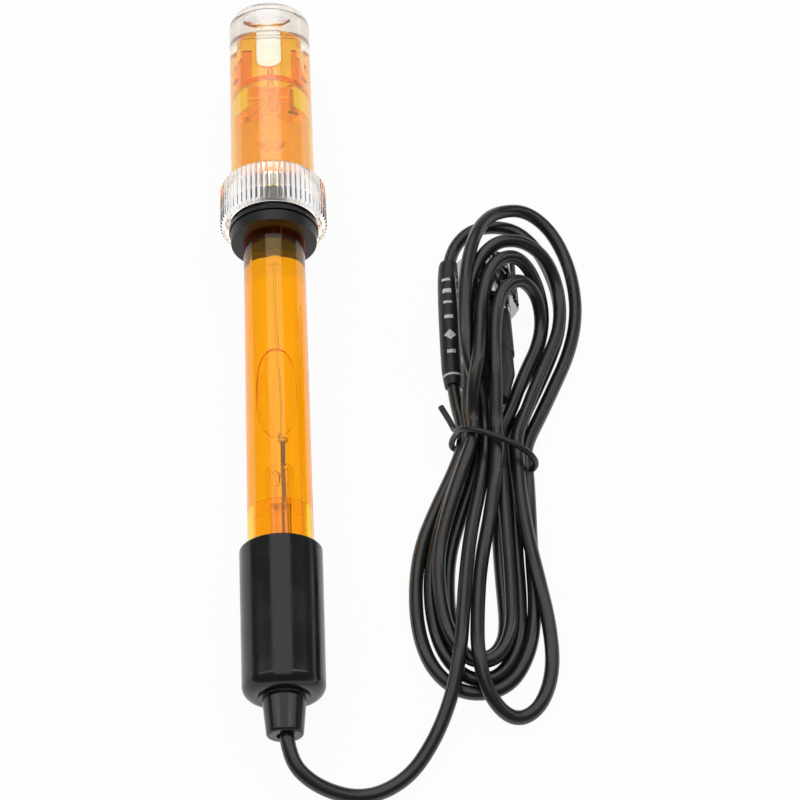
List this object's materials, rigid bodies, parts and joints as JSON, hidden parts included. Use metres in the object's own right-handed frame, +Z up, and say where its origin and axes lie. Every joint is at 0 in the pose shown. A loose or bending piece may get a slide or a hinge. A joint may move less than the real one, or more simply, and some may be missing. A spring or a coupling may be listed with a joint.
{
  "type": "redox electrode",
  "caption": "Amber plastic redox (ORP) electrode with a black cap, its screw-on storage bottle over the tip, a thin cable tied in a hank and a bayonet plug.",
  "frame": {"origin": "on the resting plane, under the middle of the electrode with its storage bottle on", "axes": "+Y along the electrode towards its tip, +Z up, +X towards the side where the cable lies"},
  "size_m": [0.0706, 0.1694, 0.0213],
  "materials": {
    "amber_plastic": "clear amber moulded plastic, glossy",
    "junction_ceramic": "porous white ceramic",
    "stem_glass": "thin clear glass",
    "platinum": "bare drawn metal",
    "seal_resin": "cast clear resin",
    "red_wire": "dark red coating",
    "solder": "smooth solder",
    "black_cap": "black moulded plastic with a soft shine",
    "black_rubber": "matt black rubber",
    "clear_plastic": "clear moulded plastic",
    "cable_jacket": "smooth black jacket with a shine",
    "sleeve_plastic": "shrunk sleeve with pale marks",
    "nickel": "nickel plate",
    "white_plastic": "white insulating plastic",
    "gold": "thin gold plate"
  },
  "bodies": {
    "electrode": {"body_tube": "amber_plastic", "tip_guard": "amber_plastic", "tip_plug": "amber_plastic", "junction_frit": "junction_ceramic", "glass_stem": "stem_glass", "platinum_pin": "platinum", "stem_seal": "seal_resin", "lead_sleeve": "stem_glass", "signal_wire": "red_wire", "solder_bead": "solder", "platinum_lead": "platinum", "reference_wire": "red_wire", "cap": "black_cap", "cable_lead": "cable_jacket", "cable_hank": "cable_jacket", "marker_sleeve": "sleeve_plastic", "cable_tie": "cable_jacket", "plug_boot": "black_rubber", "plug_body": "nickel", "plug_insulator": "white_plastic", "plug_pin": "gold", "plug_gasket": "black_rubber"},
    "seal": {"seal_collar": "black_rubber"},
    "nut": {"bottle_nut": "clear_plastic"},
    "bottle": {"storage_bottle": "clear_plastic"},
    "bayonet_ring": {"plug_coupling": "nickel"}
  },
  "joints": [
    {"name": "bottle_off", "type": "slide", "parent": "electrode", "child": "seal", "axis": [0, 0.9995, 0.0328], "range_m": [0, 0.11]},
    {"name": "nut_turn", "type": "hinge", "parent": "seal", "child": "nut", "pos_m": [0, 0.03171, 0.01064], "axis": [0, -0.9995, -0.0328], "range_deg": [0, 1080]},
    {"name": "bottle_unscrew", "type": "slide", "parent": "seal", "child": "bottle", "axis": [0, 0.9995, 0.0328], "range_m": [0, 0.0054]},
    {"name": "coupling_turn", "type": "hinge", "parent": "electrode", "child": "bayonet_ring", "pos_m": [0.0413, 0.0135, 0.006], "axis": [0, 1, 0], "continuous": true}
  ],
  "couplings": [
    {"joint": "bottle_unscrew", "follows": "nut_turn", "m_per_rad": 0.00028647}
  ]
}
